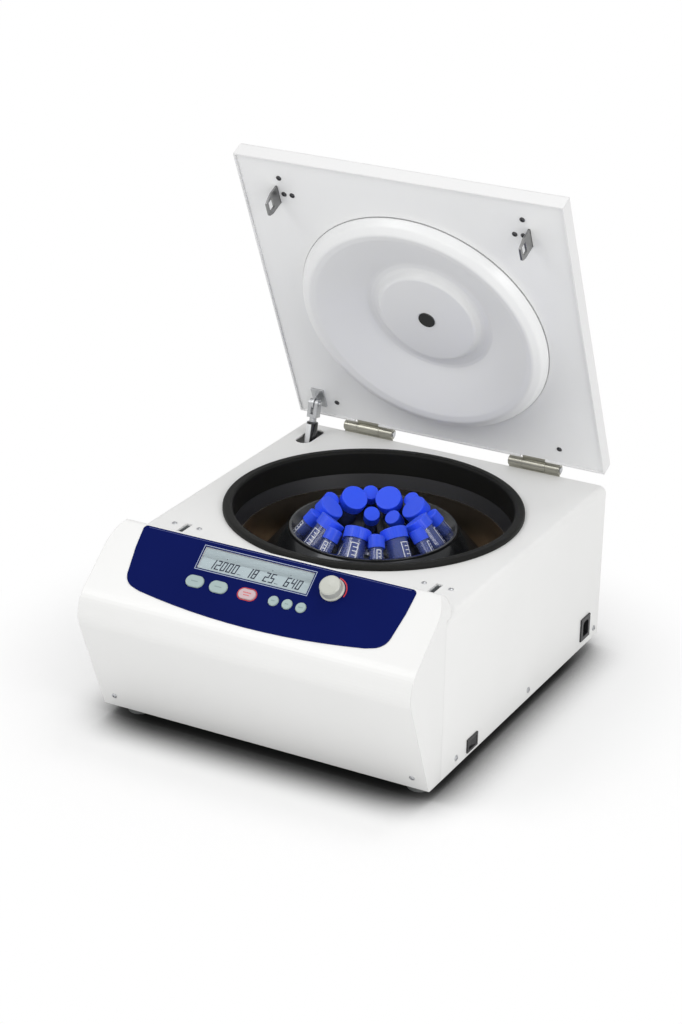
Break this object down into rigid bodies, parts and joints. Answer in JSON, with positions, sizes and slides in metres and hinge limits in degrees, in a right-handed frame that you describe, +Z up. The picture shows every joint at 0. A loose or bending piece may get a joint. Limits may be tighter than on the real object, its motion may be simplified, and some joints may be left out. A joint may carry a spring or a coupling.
{
  "type": "bench-top laboratory centrifuge",
  "caption": "Bench-top laboratory centrifuge with a raised lid, a round chamber holding an angle rotor with capped tubes, and a sloped control panel.",
  "frame": {"origin": "on the bench, in the middle of the outline with the lid fully open", "axes": "+X towards the right side seen from the front, +Y towards the rear, +Z up"},
  "size_m": [0.4339, 0.5442, 0.6266],
  "materials": {
    "tray_steel": "galvanised",
    "cover_paint": "fine powder coat",
    "fascia_plastic": "smooth paint on moulded shell",
    "overlay_film": "printed film",
    "window_plastic": "clear",
    "display_glass": "grey-green display",
    "circuit_board": "solder mask",
    "zinc": "zinc plated",
    "foot_rubber": "moulded",
    "screw_steel": "turned",
    "black_plastic": "moulded",
    "plated_brass": "nickel plated",
    "hinge_nickel": "polished nickel",
    "lip_rubber": "moulded",
    "collar_plastic": "moulded",
    "bowl_steel": "spun stainless",
    "guard_steel": "rolled plate",
    "motor_aluminium": "cast",
    "lid_paint": "fine powder coat",
    "liner_plastic": "vacuum formed",
    "clear_plastic": "clear",
    "hook_steel": "hardened",
    "dark_screw": "black oxide",
    "rotor_black": "black anodised",
    "tube_plastic": "clear plastic",
    "cap_blue": "ribbed cap",
    "knob_plastic": "moulded",
    "key_green": "embossed",
    "key_red": "embossed",
    "spring_black": "black lacquer",
    "rod_chrome": "polished"
  },
  "bodies": {
    "chassis": {"base_tray": "tray_steel", "body_cover": "cover_paint", "rear_panel": "cover_paint", "front_fascia": "fascia_plastic", "control_overlay": "overlay_film", "display_window": "window_plastic", "lcd_panel": "display_glass", "display_board": "circuit_board", "encoder": "zinc", "feet": "foot_rubber", "foot_screws": "screw_steel", "power_inlet": "black_plastic", "inlet_pins": "plated_brass", "line_filter": "zinc", "switch_frame": "black_plastic", "hinge_body_leaves": "hinge_nickel", "hinge_pins": "screw_steel", "spring_base_bracket": "zinc", "latch_housings": "tray_steel", "chamber_gasket": "lip_rubber", "chamber_collar": "collar_plastic", "chamber_bowl": "bowl_steel", "guard_ring": "guard_steel", "motor_plate": "motor_aluminium", "vibration_mounts": "foot_rubber", "motor_housing": "motor_aluminium", "drive_board": "circuit_board", "fan_frame": "black_plastic", "fan_guard": "screw_steel", "body_screws": "screw_steel"},
    "lid": {"lid_shell": "lid_paint", "lid_liner": "liner_plastic", "sight_glass": "clear_plastic", "latch_hooks": "hook_steel", "lid_screws": "dark_screw", "hinge_lid_leaves": "hinge_nickel", "spring_lid_bracket": "zinc"},
    "rotor": {"motor_shaft": "screw_steel", "rotor_body": "rotor_black", "rotor_nut": "screw_steel", "large_tubes": "tube_plastic", "large_caps": "cap_blue", "small_tubes": "tube_plastic", "small_caps": "cap_blue"},
    "knob": {"knob": "knob_plastic", "knob_spindle": "screw_steel"},
    "start_key": {"start_key": "key_green"},
    "set_key": {"set_key": "key_green"},
    "stop_key": {"stop_key": "key_red"},
    "round_key_1": {"round_key_1": "key_green"},
    "round_key_2": {"round_key_2": "key_green"},
    "round_key_3": {"round_key_3": "key_green"},
    "rocker": {"rocker": "black_plastic"},
    "gas_cylinder": {"spring_clevis": "zinc", "spring_cylinder": "spring_black"},
    "gas_rod": {"spring_rod": "rod_chrome"},
    "latch_bolt_left": {"latch_bolt_left": "hook_steel"},
    "latch_bolt_right": {"latch_bolt_right": "hook_steel"},
    "fan": {"fan_impeller": "black_plastic"}
  },
  "joints": [
    {"name": "lid_hinge", "type": "hinge", "parent": "chassis", "child": "lid", "pos_m": [0, 0.26034, 0.224], "axis": [1, 0, 0], "range_deg": [0, 65.3]},
    {"name": "gas_pivot", "type": "hinge", "parent": "lid", "child": "gas_cylinder", "pos_m": [-0.181, 0.22965, 0.25722], "axis": [1, 0, 0], "range_deg": [-64.93, 0]},
    {"name": "gas_stroke", "type": "slide", "parent": "gas_cylinder", "child": "gas_rod", "axis": [0, 0.2325, 0.9726], "range_m": [0, 0.04883]},
    {"name": "rotor_spin", "type": "hinge", "parent": "chassis", "child": "rotor", "pos_m": [0, 0.04894, 0.216], "axis": [0, 0, 1], "continuous": true},
    {"name": "knob_turn", "type": "hinge", "parent": "chassis", "child": "knob", "pos_m": [0.081, -0.20394, 0.22737], "axis": [0, -0.6277, 0.7785], "continuous": true},
    {"name": "start_key_press", "type": "slide", "parent": "chassis", "child": "start_key", "axis": [0, 0.6277, -0.7785], "range_m": [0, 0.0008], "stiffness_N_per_m": 1200},
    {"name": "set_key_press", "type": "slide", "parent": "chassis", "child": "set_key", "axis": [0, 0.6277, -0.7785], "range_m": [0, 0.0008], "stiffness_N_per_m": 1200},
    {"name": "stop_key_press", "type": "slide", "parent": "chassis", "child": "stop_key", "axis": [0, 0.6277, -0.7785], "range_m": [0, 0.0008], "stiffness_N_per_m": 1200},
    {"name": "round_key_1_press", "type": "slide", "parent": "chassis", "child": "round_key_1", "axis": [0, 0.6277, -0.7785], "range_m": [0, 0.0008], "stiffness_N_per_m": 1200},
    {"name": "round_key_2_press", "type": "slide", "parent": "chassis", "child": "round_key_2", "axis": [0, 0.6277, -0.7785], "range_m": [0, 0.0008], "stiffness_N_per_m": 1200},
    {"name": "round_key_3_press", "type": "slide", "parent": "chassis", "child": "round_key_3", "axis": [0, 0.6277, -0.7785], "range_m": [0, 0.0008], "stiffness_N_per_m": 1200},
    {"name": "rocker_tilt", "type": "hinge", "parent": "chassis", "child": "rocker", "pos_m": [0.211, -0.10906, 0.0295], "axis": [0, 0, 1], "range_deg": [0, 16]},
    {"name": "latch_left", "type": "slide", "parent": "chassis", "child": "latch_bolt_left", "axis": [-1, 0, 0], "range_m": [0, 0.008]},
    {"name": "latch_right", "type": "slide", "parent": "chassis", "child": "latch_bolt_right", "axis": [1, 0, 0], "range_m": [0, 0.008]},
    {"name": "fan_spin", "type": "hinge", "parent": "chassis", "child": "fan", "pos_m": [-0.1, 0.25594, 0.072], "axis": [0, 1, 0], "continuous": true}
  ],
  "couplings": [
    {"joint": "gas_pivot", "follows": "lid_hinge", "ratio": -0.99408},
    {"joint": "gas_stroke", "follows": "lid_hinge", "m_per_rad": 0.042802},
    {"joint": "latch_right", "follows": "latch_left", "ratio": 1}
  ]
}
